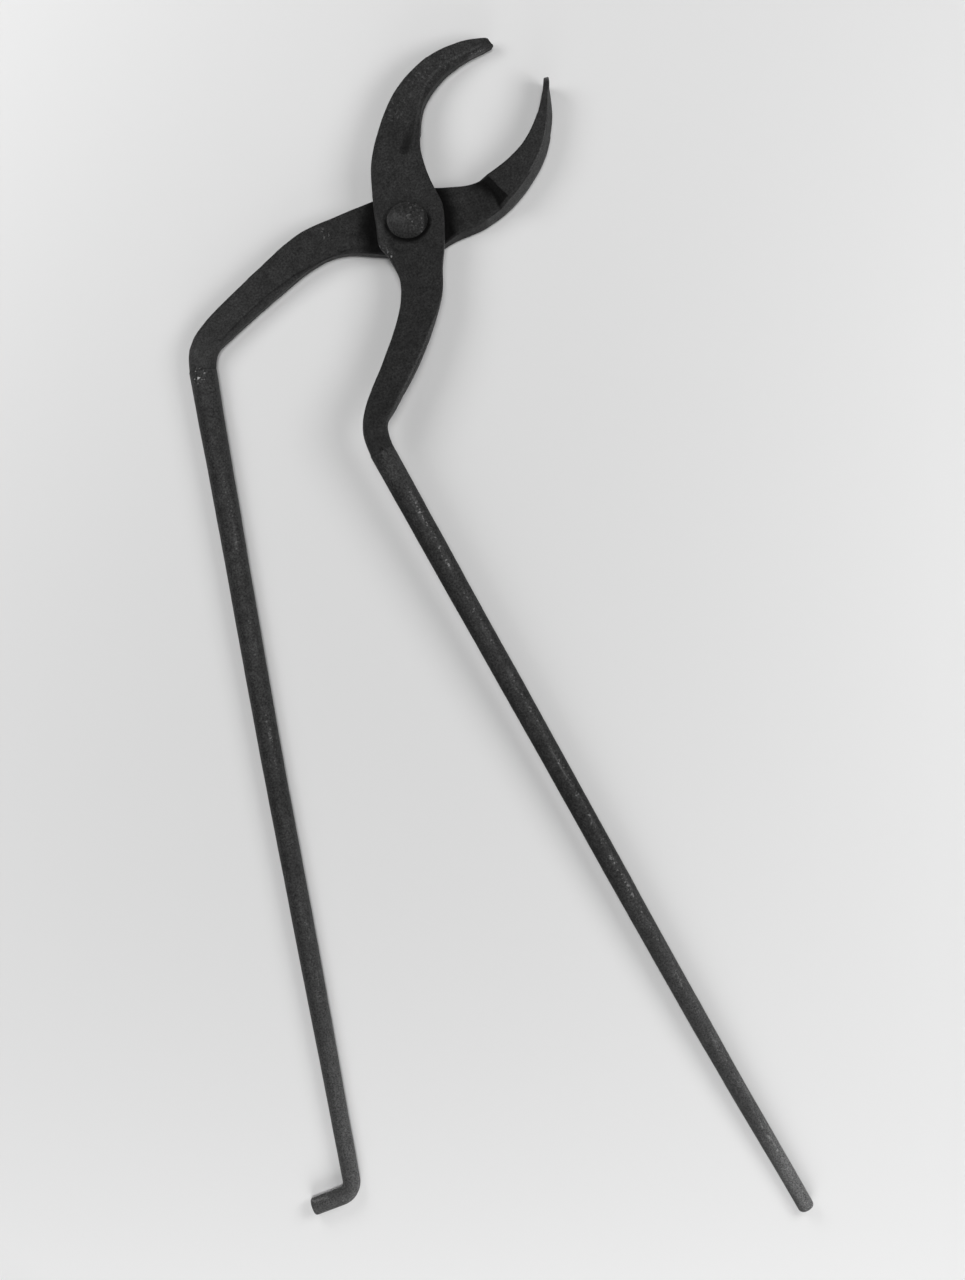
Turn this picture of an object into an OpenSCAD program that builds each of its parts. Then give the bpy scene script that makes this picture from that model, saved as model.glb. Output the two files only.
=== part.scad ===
// Crucible tongs: two forged halves cross at a rivet, and a round tapered rein is welded to each.
// The origin is on the rivet's axis, at the plane the tongs lie on. +Z is up, +Y runs from the
// grips to the jaws. Each arm is laid out as it stands with the jaws shut, its rein parallel to Y,
// and is then turned about the rivet by half of the opening.

/* [Pose] */
// Angle between the reins; the jaws' tips meet as the reins come parallel
opening = 19; // [0.5:0.1:81]

/* [Rivet] */
// Diameter of the shank
shank_d = 11; // [9:0.5:13]
// Radial clearance between the shank and the lower half
running_gap = 0.08; // [0.02:0.01:0.1]
// Diameter of the hammered head
head_d = 20.6; // [18:0.2:24]
// Height of the head above the upper half
head_h = 5; // [4:0.5:7]
// Diameter of the flat peened tail
tail_d = 17; // [15:0.5:20]
// Thickness of the tail, which the tongs rest on
tail_t = 1.8; // [1.5:0.1:2.5]

/* [Laps] */
// Thickness of each half where the two cross
lap_t = 9.8; // [9:0.1:11]
// Gap between faces that slide past each other
face_gap = 0.25; // [0.1:0.05:0.4]
// Distance from the rivet's axis to the foot of the step that ends each lap
step_r = 44; // [42:0.5:46]
// How far each step's slope reaches outwards
step_run = 4.5; // [2:0.5:6]

/* [Jaws] */
// Depth of the jaws, top to underside
jaw_depth = 16; // [15:0.5:18]
// Depth of the upper jaw at its tip, which is drawn down thinner
upper_tip_depth = 7.5; // [6:0.5:12]

/* [Reins] */
// Distance from the rivet's axis across to the upper rein, jaws shut
upper_offset = 67; // [65:0.5:69]
// The same for the lower rein
lower_offset = 115.2; // [113:0.2:118]
// Length of the upper rein
upper_length = 437.5; // [420:0.5:460]
// Length of the lower rein, up to its hook's bend
lower_length = 416; // [400:0.5:430]
// Radius of the upper rein where it is welded
upper_root_r = 6.3; // [6:0.1:6.8]
// Radius of the upper rein two thirds of the way along
upper_waist_r = 5.1; // [4.8:0.1:5.4]
// Radius of the upper rein's cylindrical end
upper_end_r = 4.1; // [3.6:0.1:4.6]
// Radius of the lower rein where it is welded
lower_root_r = 6.95; // [6.5:0.05:7.3]
// Radius of the lower rein once the swelling at its weld has run out
lower_settled_r = 6.1; // [5.9:0.1:6.4]
// Radius of the lower rein three quarters of the way along
lower_waist_r = 5.2; // [4.9:0.1:5.5]
// Radius of the lower rein at its hook
lower_end_r = 4.45; // [4:0.05:4.8]
// Height of the upper rein's axis where it is welded
upper_weld_z = 24.5; // [24:0.5:26]
// Length of the cylindrical stretch at the upper rein's end
plain_end = 25; // [15:1:30]

/* [Hook] */
// Radius of the bend, measured to the bar's axis
bend_r = 6; // [5:0.5:9]
// How far the bar turns
bend_angle = 79.5; // [60:0.5:100]
// Straight length beyond the bend
hook_length = 15.3; // [10:0.1:25]

/* [Hidden] */
$fn = 64;

iron = [0.17, 0.17, 0.17];
worn_iron = [0.22, 0.22, 0.22];

// Levels, from the resting plane up
lower_under = tail_t + face_gap;
lower_top = lower_under + lap_t;
upper_under = lower_top + face_gap;
upper_top = upper_under + lap_t;
jaw_top = lower_under + jaw_depth;
upper_tip_top = lower_under + upper_tip_depth;

// Where each rein is welded on, and how steeply it falls to rest its free end on the plane
lift = 0.2;  // height of the lower rein above the plane
upper_weld = [-upper_offset, -93, upper_weld_z];
lower_weld = [-lower_offset, -52, lower_root_r + lift];
upper_fall = asin((upper_weld_z - upper_end_r) / upper_length);
lower_fall = asin((lower_root_r - lower_end_r) / lower_length);

forged_edge = 1.3;      // rounding of the forged edges
lap_relief = 1.5;       // stock that the steps' cutters take off the laps
slack = 0.1;            // keeps the shoulders clear of those cutters
weld_stock = 3;         // a half runs this far past its weld before it is cut to length
arc_steps = 3;          // facets in each rounded edge
rings_per_station = 4;  // sections between neighbouring stations
big = 60;               // reach of cutting blocks

// Station of a bar that has become round, a distance past its weld
function weld_section(weld, r, past) =
    [[weld.x - r, weld.y - past], [weld.x + r, weld.y - past], weld.z - r, weld.z + r, r];

// A half is a bar whose section is drawn at a few stations from the jaw's tip to the weld. Walking
// that way, a station gives the right edge, the left edge, the underside, the top and the rounding.
upper_stations = [
    [[81.9, 62.4], [81.7, 60.0], lower_under + 1, upper_tip_top - 1, forged_edge],   // blunt tip
    [[79.8, 65.5], [80.0, 59.2], lower_under, upper_tip_top, forged_edge],
    [[66.0, 69.4], [66.0, 59.7], lower_under, upper_tip_top + 2.2, forged_edge],
    [[48.4, 69.2], [51.2, 57.5], lower_under, jaw_top - 2.6, forged_edge],           // crown
    [[28.0, 62.4], [37.1, 50.2], lower_under, jaw_top - 0.6, forged_edge],
    [[12.4, 49.6], [28.4, 38.9], lower_under, jaw_top + 0.8, forged_edge],
    [[-0.2, 35.7], [23.0, 28.0], lower_under + 4, upper_top - 1.2, forged_edge],
    [[-8.5, 20.3], [20.1, 14.2], upper_under - lap_relief, upper_top, forged_edge],  // boss
    [[-15.3, 4.7], [19.2, -0.6], upper_under - slack, upper_top, forged_edge],
    [[-16.3, -9.3], [12.7, -14.4], upper_under + slack, upper_top, forged_edge],
    [[-17.8, -23.4], [4.9, -26.1], upper_under + slack, upper_top, forged_edge],     // neck
    [[-26.3, -37.0], [-3.8, -40.0], upper_under + slack, upper_top + 0.5, forged_edge],
    [[-43.3, -52.9], [-24.8, -59.8], upper_under + 1.5, upper_top + 2, forged_edge], // shoulder
    [[-62.3, -68.5], [-49.4, -77.0], upper_under + 4, upper_top + 5.4, 2.8],
    [[-70.8, -80.2], [-58.0, -83.0], upper_weld_z - 6.4, upper_weld_z + 6.0, 5.2],   // elbow
    weld_section(upper_weld, upper_root_r, 0),
    weld_section(upper_weld, upper_root_r, weld_stock)
];

lower_stations = [
    [[79.3, 59.3], [81.6, 59.4], lower_under + 0.5, jaw_top - 0.5, 0.8],             // sharp tip
    [[77.5, 53.2], [81.6, 52.3], lower_under, jaw_top, forged_edge],
    [[71.7, 40.9], [80.3, 39.1], lower_under, jaw_top, forged_edge],
    [[61.8, 28.8], [72.9, 21.6], lower_under, jaw_top, forged_edge],
    [[48.5, 20.3], [57.9, 5.3], lower_under, jaw_top, forged_edge],                  // heel of the jaw
    [[35.5, 15.8], [40.6, -5.2], lower_under, jaw_top, forged_edge],
    [[20.8, 16.5], [22.1, -10.0], lower_under, lower_top + lap_relief, forged_edge],
    [[5.0, 18.6], [4.0, -15.5], lower_under, lower_top + slack, forged_edge],        // boss
    [[-16.0, 16.0], [-15.5, -11.1], lower_under, lower_top - slack, forged_edge],
    [[-36.0, 11.7], [-34.2, -7.3], lower_under, lower_top - slack, forged_edge],     // neck
    [[-56.0, 6.2], [-51.2, -11.0], lower_under, lower_top - slack, forged_edge],
    [[-80.5, -8.3], [-71.3, -21.8], lower_under - 0.5, lower_top - slack, forged_edge],
    [[-109.4, -27.9], [-97.0, -37.7], lower_under - 1.4, lower_top + 0.3, 2.6],      // shoulder
    [[-119.6, -39.8], [-105.6, -44.2], lower_weld.z - 6.9, lower_weld.z + 6.5, 5.4], // elbow
    weld_section(lower_weld, lower_root_r, 0),
    weld_section(lower_weld, lower_root_r, weld_stock)
];

// Entry i of a list, its first and last entries standing in beyond the ends
function entry(list, i) = list[max(0, min(len(list) - 1, i))];

// Smooth curve through p1 and p2, with the neighbours p0 and p3 setting its direction
function curve(p0, p1, p2, p3, t) =
    p1 + (p2 - p0) * t / 2
    + (2 * p0 - 5 * p1 + 4 * p2 - p3) * t * t / 2
    + (3 * p1 - p0 - 3 * p2 + p3) * t * t * t / 2;

function blend(a, b, t) = a + (b - a) * t;

// Rounded rectangle standing between two plan points
function section(right, left, under, top, edge) =
    let (width = norm(left - right),
         across = (left - right) / width,
         r = min(edge, 0.48 * width, 0.48 * (top - under)))
    [for (corner = [0:3]) for (k = [0:arc_steps])
        let (a = 90 * (corner + k / arc_steps),
             u = (corner == 0 || corner == 3 ? width - r : r) + r * cos(a),
             z = (corner < 2 ? top - r : under + r) + r * sin(a))
        [right.x + across.x * u, right.y + across.y * u, z]];

// Section a fraction t of the way from station i to the next
function section_at(s, i, t) =
    section(curve(entry(s, i - 1)[0], s[i][0], entry(s, i + 1)[0], entry(s, i + 2)[0], t),
            curve(entry(s, i - 1)[1], s[i][1], entry(s, i + 1)[1], entry(s, i + 2)[1], t),
            blend(s[i][2], entry(s, i + 1)[2], t),
            blend(s[i][3], entry(s, i + 1)[3], t),
            blend(s[i][4], entry(s, i + 1)[4], t));

// The bar through a list of stations
module forged_bar(stations) {
    count = (len(stations) - 1) * rings_per_station;
    sides = 4 * (arc_steps + 1);
    points = [for (k = [0:count])
        let (i = min(floor(k / rings_per_station), len(stations) - 2))
        each section_at(stations, i, k / rings_per_station - i)];
    walls = [for (k = [0:count - 1]) for (j = [0:sides - 1])
        let (a = k * sides + j, b = k * sides + (j + 1) % sides)
        each [[a, b + sides, b], [a, a + sides, b + sides]]];
    polyhedron(points,
               concat([[for (j = [0:sides - 1]) j]],
                      walls,
                      [[for (j = [0:sides - 1]) count * sides + sides - 1 - j]]));
}

// Turns an arm from its jaws-shut position to its place in the modelled pose
module upper_arm() { rotate([0, 0, opening / 2]) children(); }
module lower_arm() { rotate([0, 0, -opening / 2]) children(); }

// Local +Z runs along a rein from its weld to its free end, and local +Y points up
module along_upper_rein() { translate(upper_weld) rotate([90 + upper_fall, 0, 0]) children(); }
module along_lower_rein() { translate(lower_weld) rotate([90 + lower_fall, 0, 0]) children(); }

// Everything past a weld's plane, for cutting a half to length
module past_weld() { translate([-big / 2, -big / 2, 0]) cube(big); }

// A turned bar from its radii at distances along its axis
module turned(profile) {
    end = profile[len(profile) - 1][1];
    rotate_extrude() polygon(concat([[0, 0]], profile, [[0, end]]));
}

module upper_half() {
    color(iron)
    upper_arm()
    difference() {
        forged_bar(upper_stations);
        translate([0, 0, -1]) cylinder(h = upper_under + 1, r1 = step_r + step_run, r2 = step_r);
        cylinder(h = big, d = shank_d);
        along_upper_rein() past_weld();
    }
}

module lower_half() {
    color(iron)
    lower_arm()
    difference() {
        forged_bar(lower_stations);
        translate([0, 0, lower_top])
            cylinder(h = jaw_top - lower_top + 1, r1 = step_r, r2 = step_r + step_run);
        cylinder(h = big, d = shank_d + 2 * running_gap, center = true);
        along_lower_rein() past_weld();
    }
}

module upper_rein() {
    chamfer = 1;
    color(worn_iron)
    upper_arm()
    along_upper_rein()
    turned([[upper_root_r, 0],
            [upper_waist_r, upper_length * 2 / 3],
            [upper_end_r, upper_length - plain_end],
            [upper_end_r, upper_length - chamfer],
            [upper_end_r - chamfer, upper_length]]);
}

module lower_rein() {
    swelling = 62;  // how far past the weld the rein is still swollen
    upset = 0.1;    // how much fatter the bar is in the bend
    buried = 0.3;   // how far each straight stretch runs on inside the bend
    color(worn_iron)
    lower_arm()
    along_lower_rein() {
        turned([[lower_root_r, 0],
                [lower_settled_r, swelling],
                [lower_waist_r, lower_length * 3 / 4],
                [lower_end_r, lower_length],
                [lower_end_r, lower_length + buried]]);
        translate([-bend_r, 0, lower_length]) rotate([90, 0, 0]) {
            rotate_extrude(angle = bend_angle) translate([bend_r, 0]) circle(lower_end_r + upset);
            rotate([0, 0, bend_angle]) translate([bend_r, -buried, 0]) rotate([-90, 0, 0])
                cylinder(h = hook_length + buried, r = lower_end_r);
        }
    }
}

module rivet() {
    tail_edge = 0.4;   // how much the tail's lower rim is worn back
    undercut = 1.2;    // how far the head's rim overhangs its foot
    crown_d = 0.4 * head_d;
    color(worn_iron)
    upper_arm()
    rotate_extrude()
    polygon([[0, 0], [tail_d / 2 - tail_edge, 0], [tail_d / 2, tail_edge], [tail_d / 2, tail_t],
             [shank_d / 2, tail_t], [shank_d / 2, upper_top],
             [head_d / 2 - undercut, upper_top], [head_d / 2, upper_top + 0.25 * head_h],
             [head_d / 2 - undercut / 2, upper_top + 0.5 * head_h],
             [crown_d / 2, upper_top + 0.95 * head_h], [0, upper_top + head_h]]);
}

upper_half();
upper_rein();
lower_half();
lower_rein();
rivet();
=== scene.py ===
import math

import bpy
import numpy as np
from mathutils import Matrix, Vector, noise


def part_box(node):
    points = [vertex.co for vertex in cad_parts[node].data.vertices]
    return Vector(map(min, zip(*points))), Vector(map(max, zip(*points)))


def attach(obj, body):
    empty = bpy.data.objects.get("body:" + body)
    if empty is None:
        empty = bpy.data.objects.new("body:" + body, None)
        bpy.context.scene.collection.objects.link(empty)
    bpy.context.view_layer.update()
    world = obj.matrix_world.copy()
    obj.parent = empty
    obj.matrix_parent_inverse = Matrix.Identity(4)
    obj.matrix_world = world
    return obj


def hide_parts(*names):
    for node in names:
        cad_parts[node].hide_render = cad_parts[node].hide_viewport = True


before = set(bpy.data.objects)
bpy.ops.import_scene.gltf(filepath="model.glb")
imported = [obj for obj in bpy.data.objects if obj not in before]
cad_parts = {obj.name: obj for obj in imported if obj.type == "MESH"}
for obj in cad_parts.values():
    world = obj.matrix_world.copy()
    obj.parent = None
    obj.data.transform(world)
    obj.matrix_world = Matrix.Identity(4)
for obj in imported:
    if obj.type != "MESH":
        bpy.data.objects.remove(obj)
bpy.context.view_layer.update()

# Crucible tongs. Lengths here are in millimetres, and each arm is laid out as it stands with the
# jaws shut, its rein parallel to Y, before it is turned about the rivet into the rest pose.
MM = 0.001
HALF_OPENING = math.radians(9.5)

# ---------------------------------------------------------------- dimensions
TAIL_T, FACE_GAP, LAP_T, JAW_DEPTH, TIP_DEPTH = 1.8, 0.25, 9.8, 16.0, 7.5
LOWER_UNDER = TAIL_T + FACE_GAP
LOWER_TOP = LOWER_UNDER + LAP_T
UPPER_UNDER = LOWER_TOP + FACE_GAP
UPPER_TOP = UPPER_UNDER + LAP_T
JAW_TOP = LOWER_UNDER + JAW_DEPTH
TIP_TOP = LOWER_UNDER + TIP_DEPTH
HEAD_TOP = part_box("rivet")[1][2] / MM

UPPER_R, LOWER_R = 6.3, 6.95
UPPER_LENGTH, LOWER_LENGTH = 437.5, 416.0
UPPER_END_R, LOWER_END_R = 4.1, 4.45
UPPER_WELD = np.array([-67.0, -93.0, 24.5])
LOWER_WELD = np.array([-115.2, -52.0, LOWER_R + 0.2])
UPPER_FALL = math.asin((UPPER_WELD[2] - UPPER_END_R) / UPPER_LENGTH)
LOWER_FALL = math.asin((LOWER_R - LOWER_END_R) / LOWER_LENGTH)
HEAD_R, HEAD_TURN = 10.1, math.radians(29.3)
HEAD_AT = np.array([0.0, 1.1])  # the head was hammered over slightly off the shank
BEND_R, BEND_ANGLE, HOOK_LENGTH = 7.3, math.radians(79.5), 15.9


# ---------------------------------------------------------------- small maths
def smooth(a, b, x):
    """0 at a, rising smoothly to 1 at b, which may be the smaller of the two."""
    t = np.clip((x - a) / (b - a), 0.0, 1.0)
    return t * t * (3 - 2 * t)


def near(x, centre, width):
    """1 at centre, falling smoothly to 0 at width away."""
    return 1 - smooth(0.0, width, np.abs(x - centre))


def fbm(points, size, octaves=3, offset=0.0):
    """Smooth noise with features of about that size, from -1 to 1."""
    out = np.zeros(len(points))
    for k in range(octaves):
        scale = 2.0 ** k / size
        shift = Vector((offset + 7.3 * k, 3.1 * offset, 1.7 * k))
        out += [noise.noise(Vector(p) * scale + shift) * 0.5 ** k for p in points]
    return out


def along(p0, p1, xy):
    """Distance of plan points from a segment, and the fraction along it."""
    p0, p1 = np.array(p0, float), np.array(p1, float)
    d = p1 - p0
    t = np.clip(((xy - p0) @ d) / (d @ d), 0, 1)
    return np.linalg.norm(xy - (p0 + t[:, None] * d), axis=1), t


def beyond(line, xy):
    """How far plan points lie to the right of a line walked from its start; negative to its left."""
    best = np.full(len(xy), 1e9)
    side = np.ones(len(xy))
    for p0, p1 in zip(line[:-1], line[1:]):
        gap, _ = along(p0, p1, xy)
        d = np.array(p1, float) - np.array(p0, float)
        cross = (xy[:, 0] - p0[0]) * d[1] - (xy[:, 1] - p0[1]) * d[0]
        closer = gap < best
        best = np.where(closer, gap, best)
        side = np.where(closer, np.sign(cross), side)
    return best * side


def near_line(line, xy):
    """Distance of plan points from a line of segments."""
    return np.min([along(p0, p1, xy)[0] for p0, p1 in zip(line[:-1], line[1:])], axis=0)


def turn(points, angle):
    """Points turned about the rivet's axis."""
    c, s = math.cos(angle), math.sin(angle)
    out = np.array(points, float)
    out[:, 0], out[:, 1] = points[:, 0] * c - points[:, 1] * s, points[:, 0] * s + points[:, 1] * c
    return out


# ---------------------------------------------------------------- forged bars
class Bar:
    """A bar through stations: right edge, left edge, underside, top, and the rounding of its right
    top, left top and bottom edges. It is walked from the jaw's tip to the weld."""

    TOP, SIDE, UNDER, CORNER = 30, 12, 14, 6  # spans across each face and round each edge

    def __init__(self, stations):
        self.right = np.array([s[0] for s in stations], float)
        self.left = np.array([s[1] for s in stations], float)
        self.section = np.array([s[2:] for s in stations], float)
        self.last = len(stations) - 1

    def _curve(self, pts, s):
        """A smooth curve through the points, one whole number apart, at position s."""
        i = int(min(max(math.floor(s), 0), self.last - 1))
        t = s - i
        p = [pts[min(max(k, 0), self.last)] for k in (i - 1, i, i + 1, i + 2)]
        return (p[1] + (p[2] - p[0]) * t / 2
                + (2 * p[0] - 5 * p[1] + 4 * p[2] - p[3]) * t * t / 2
                + (3 * p[1] - p[0] - 3 * p[2] + p[3]) * t ** 3 / 2)

    def edge(self, side, s):
        """Plan point of the right or the left edge at station position s."""
        return self._curve(self.right if side == "right" else self.left, s)

    def levels(self, s):
        """Underside, top, and the three roundings at station position s."""
        i = int(min(max(math.floor(s), 0), self.last - 1))
        return self.section[i] + (self.section[i + 1] - self.section[i]) * (s - i)

    def at_radius(self, side, r, low, high):
        """Station position between low and high where an edge is r from the rivet."""
        inside = np.linalg.norm(self.edge(side, low)) < r
        for _ in range(40):
            mid = (low + high) / 2
            if (np.linalg.norm(self.edge(side, mid)) < r) == inside:
                low = mid
            else:
                high = mid
        return (low + high) / 2

    def spacing(self, step, low, high):
        """Station positions from low to high, about step apart along the bar's middle."""
        fine = np.linspace(low, high, 2000)
        mid = np.array([(self.edge("right", s) + self.edge("left", s)) / 2 for s in fine])
        run = np.concatenate([[0], np.cumsum(np.linalg.norm(np.diff(mid, axis=0), axis=1))])
        count = max(2, int(run[-1] / step))
        return np.interp(np.linspace(0, run[-1], count + 1), run, fine)

    def ring(self, s_right, s_left, bow=None, top=None, under=None, inset=0.0, shift=(0, 0)):
        """One loop of points, with a tag for each: station, u, face and how far round an edge.
        u runs from 0 on the right to 1 on the left. bow(u) bends the section in plan, top and
        under stand in for the bar's own levels, and inset and shift draw a rounded end."""
        low, high, r_rt, r_lt, r_b = self.levels((s_right + s_left) / 2)
        low = low if under is None else under
        high = high if top is None else top
        right, left = self.edge("right", s_right), self.edge("left", s_left)
        width = np.linalg.norm(left - right)
        largest = 0.49 * min(width, high - low)
        r_rt, r_lt, r_b = [max(min(r, largest) - inset, 0.02) for r in (r_rt, r_lt, r_b)]
        low, high = low + inset, high - inset
        rows = []  # (u, z, face, how far round an edge)

        def arc(u0, z0, r, start):
            for k in range(1, self.CORNER):
                a = math.radians(start - 90 * k / self.CORNER)
                rows.append((u0 + r * math.cos(a) / width, z0 + r * math.sin(a),
                             "corner", math.sin(math.pi * k / self.CORNER)))

        i = inset / width
        for k in range(self.TOP + 1):
            u = (i + r_rt / width) + (1 - 2 * i - (r_rt + r_lt) / width) * k / self.TOP
            rows.append((u, high, "top", 0))
        arc(1 - i - r_lt / width, high - r_lt, r_lt, 90)
        for k in range(self.SIDE + 1):
            a, b = high - r_lt, low + r_b
            rows.append((1 - i, a + (b - a) * k / self.SIDE, "left", 0))
        arc(1 - i - r_b / width, low + r_b, r_b, 0)
        for k in range(self.UNDER + 1):
            u = (1 - i - r_b / width) - (1 - 2 * i - 2 * r_b / width) * k / self.UNDER
            rows.append((u, low, "under", 0))
        arc(i + r_b / width, low + r_b, r_b, 270)
        for k in range(self.SIDE + 1):
            a, b = low + r_b, high - r_rt
            rows.append((i, a + (b - a) * k / self.SIDE, "right", 0))
        arc(i + r_rt / width, high - r_rt, r_rt, 180)

        points = []
        for u, z, _, _ in rows:
            p = right + (left - right) * u + np.array(shift)
            if bow is not None:
                p = p + bow(u)
            points.append((p[0], p[1], z))
        tags = [(s_right, u, face, corner) for u, _, face, corner in rows]
        return np.array(points), tags


def loft(rings):
    """Vertices and faces of closed loops joined one to the next, with a fan on each end. The
    faces are wound to look outwards."""
    n = len(rings[0])
    verts = [v for ring in rings for v in ring]
    faces = []
    for k in range(len(rings) - 1):
        for j in range(n):
            a, b = k * n + j, k * n + (j + 1) % n
            faces.append((a, b, b + n, a + n))
    verts.append(np.mean(rings[0], axis=0))
    faces += [(len(verts) - 1, (j + 1) % n, j) for j in range(n)]
    verts.append(np.mean(rings[-1], axis=0))
    base = (len(rings) - 1) * n
    faces += [(len(verts) - 1, base + j, base + (j + 1) % n) for j in range(n)]
    verts = np.array(verts)
    centre = verts.mean(axis=0)
    volume = sum(np.dot(np.cross(verts[f[1]] - verts[f[0]], verts[f[2]] - verts[f[0]]),
                        verts[f[0]] - centre) for f in faces)
    if volume < 0:
        faces = [tuple(reversed(f)) for f in faces]
    return verts, faces


def normals_of(verts, faces):
    """Outward unit normal at each vertex, weighted by the faces round it."""
    quads = np.array([f if len(f) == 4 else (f[0], f[1], f[2], f[2]) for f in faces])
    d1, d2 = verts[quads[:, 2]] - verts[quads[:, 0]], verts[quads[:, 3]] - verts[quads[:, 1]]
    face_n = np.cross(d1, d2)
    out = np.zeros_like(verts)
    for k in range(4):
        np.add.at(out, quads[:, k], face_n)
    return out / np.maximum(np.linalg.norm(out, axis=1), 1e-12)[:, None]


def mesh_object(name, verts, faces, angle, masks, material, sharp=()):
    """A smooth-shaded object from an arm's points, turned into the rest pose, with its masks,
    held between 0 and 1. The edges that run within the loop of points called sharp stay hard."""
    mesh = bpy.data.meshes.new(name)
    mesh.from_pydata((turn(verts, angle) * MM).tolist(), [], [tuple(map(int, f)) for f in faces])
    mesh.validate()
    mesh.polygons.foreach_set("use_smooth", [True] * len(mesh.polygons))
    for key, values in masks.items():
        layer = mesh.attributes.new(key, "FLOAT", "POINT")
        layer.data.foreach_set("value", np.clip(values, 0, 1).astype(np.float32))
    if len(sharp):
        loop = set(map(int, sharp))
        hard = mesh.attributes.new("sharp_edge", "BOOLEAN", "EDGE")
        for k, edge in enumerate(mesh.edges):
            hard.data[k].value = edge.vertices[0] in loop and edge.vertices[1] in loop
    mesh.materials.append(material)
    obj = bpy.data.objects.new(name, mesh)
    bpy.context.scene.collection.objects.link(obj)
    return obj


# ---------------------------------------------------------------- materials
def iron(name, tone, rough):
    """Dark forge scale: mottled, finely pitted, rubbed bright where the masks say so; the same masks
    also lay in painted shade and painted highlights.
    """
    mat = bpy.data.materials.new(name)
    mat.use_nodes = True
    nt = mat.node_tree
    nt.nodes.clear()
    out = nt.nodes.new("ShaderNodeOutputMaterial")
    bsdf = nt.nodes.new("ShaderNodeBsdfPrincipled")
    nt.links.new(bsdf.outputs["BSDF"], out.inputs["Surface"])
    bsdf.inputs["Specular IOR Level"].default_value = 0.16
    coord = nt.nodes.new("ShaderNodeTexCoord")

    def noise_node(size_mm, detail, roughness=0.55):
        n = nt.nodes.new("ShaderNodeTexNoise")
        n.inputs["Scale"].default_value = 1000.0 / size_mm
        n.inputs["Detail"].default_value = detail
        n.inputs["Roughness"].default_value = roughness
        nt.links.new(coord.outputs["Object"], n.inputs["Vector"])
        return n.outputs["Fac"]

    def maths(op, a, b):
        m = nt.nodes.new("ShaderNodeMath")
        m.operation = op
        for slot, v in zip(m.inputs, (a, b)):
            if isinstance(v, (int, float)):
                slot.default_value = v
            else:
                nt.links.new(v, slot)
        return m.outputs[0]

    def spread(value, low, high):
        m = nt.nodes.new("ShaderNodeMapRange")
        m.inputs["From Min"].default_value = 0.25
        m.inputs["From Max"].default_value = 0.75
        m.inputs["To Min"].default_value = low
        m.inputs["To Max"].default_value = high
        nt.links.new(value, m.inputs["Value"])
        return m.outputs["Result"]

    def mask(key):
        a = nt.nodes.new("ShaderNodeAttribute")
        a.attribute_name = key
        return a.outputs["Fac"]

    broad = spread(noise_node(26, 3), 0.80, 1.20)
    patch = spread(noise_node(4.5, 4), 0.66, 1.34)
    fine = spread(noise_node(1.0, 2, 0.75), 0.05, 1.95)
    value = maths("MULTIPLY", maths("MULTIPLY", broad, patch), fine)
    value = maths("MULTIPLY", value, tone)
    # soot and painted shade darken, wear and painted highlights brighten through a broken-up edge
    value = maths("MULTIPLY", value, maths("SUBTRACT", 1.0, maths("MULTIPLY", mask("soot_and_shade"), 0.9)))
    ragged = maths("MULTIPLY", mask("wear_and_sheen"), spread(noise_node(0.7, 2, 0.6), 0.0, 1.6))
    value = maths("ADD", value, maths("MULTIPLY", ragged, 0.16))
    # small bare chips, only where the flecks mask lets them through
    chip = nt.nodes.new("ShaderNodeMapRange")
    chip.interpolation_type = "SMOOTHSTEP"
    chip.inputs["From Min"].default_value = 0.61
    chip.inputs["From Max"].default_value = 0.69
    nt.links.new(noise_node(1.4, 1, 0.4), chip.inputs["Value"])
    bare = maths("MULTIPLY", mask("flecks"), chip.outputs["Result"])
    value = maths("ADD", value, maths("MULTIPLY", bare, 0.42))
    colour = nt.nodes.new("ShaderNodeCombineColor")
    for k in range(3):
        nt.links.new(value, colour.inputs[k])
    nt.links.new(colour.outputs["Color"], bsdf.inputs["Base Color"])
    shine = maths("SUBTRACT", spread(noise_node(3.0, 4), rough - 0.07, rough + 0.07),
                  maths("MULTIPLY", mask("wear_and_sheen"), 0.15))
    shine = maths("ADD", shine, maths("MULTIPLY", mask("soot_and_shade"), 0.35))
    nt.links.new(shine, bsdf.inputs["Roughness"])

    height = maths("ADD", maths("MULTIPLY", noise_node(2.6, 3), 0.5),
                   maths("MULTIPLY", noise_node(0.7, 3, 0.7), 0.35))
    bump = nt.nodes.new("ShaderNodeBump")
    bump.inputs["Strength"].default_value = 0.55
    bump.inputs["Distance"].default_value = 0.00022
    nt.links.new(height, bump.inputs["Height"])
    nt.links.new(bump.outputs["Normal"], bsdf.inputs["Normal"])
    return mat


FORGED = iron("forge_scale", 0.0190, 0.62)
REIN = iron("rein_scale", 0.0245, 0.58)
HEAD = iron("rivet_scale", 0.0185, 0.55)


# ---------------------------------------------------------------- the two halves
EDGE = 1.1  # ordinary rounding of a forged edge
PITCH = 0.8  # distance between loops
TIP_R, TIP_GAP = 85.0, 0.15  # beyond this radius the jaws' tips stay clear of each other
LAP_R = 60.0  # within this radius the halves' meeting faces are kept free of raised marks
LAP_GAP = 0.02
STEP_FOOT_R, STEP_CREST_R = 44.0, 48.5  # the cone that the upper jaw's step is cut to
STEP_MARGIN = 0.35  # stations between the step's ends and the plain loops
CAP_ANGLE, CAP_STEPS = math.radians(84), 5  # how far round an end is rounded, in how many loops
TIP_ROUND = 0.9
RIVET_STATION = 7  # from here on the faces that lap are the bar's own
LEAN, LEAN_DEPTH = 2.7, 9.0  # the lower jaw's outer wall leans in by this much over this depth
RIDGE_SLOPE, BEVEL_SLOPE = 0.75, 0.8
LIP_SPREAD = 2.0
DENT_DEPTH, GROOVE_DEPTH = 0.9, 0.6
TIGHT_BEARING = 1.15  # where the rivet's head sits tight on the bar, in radians from +X


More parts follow.
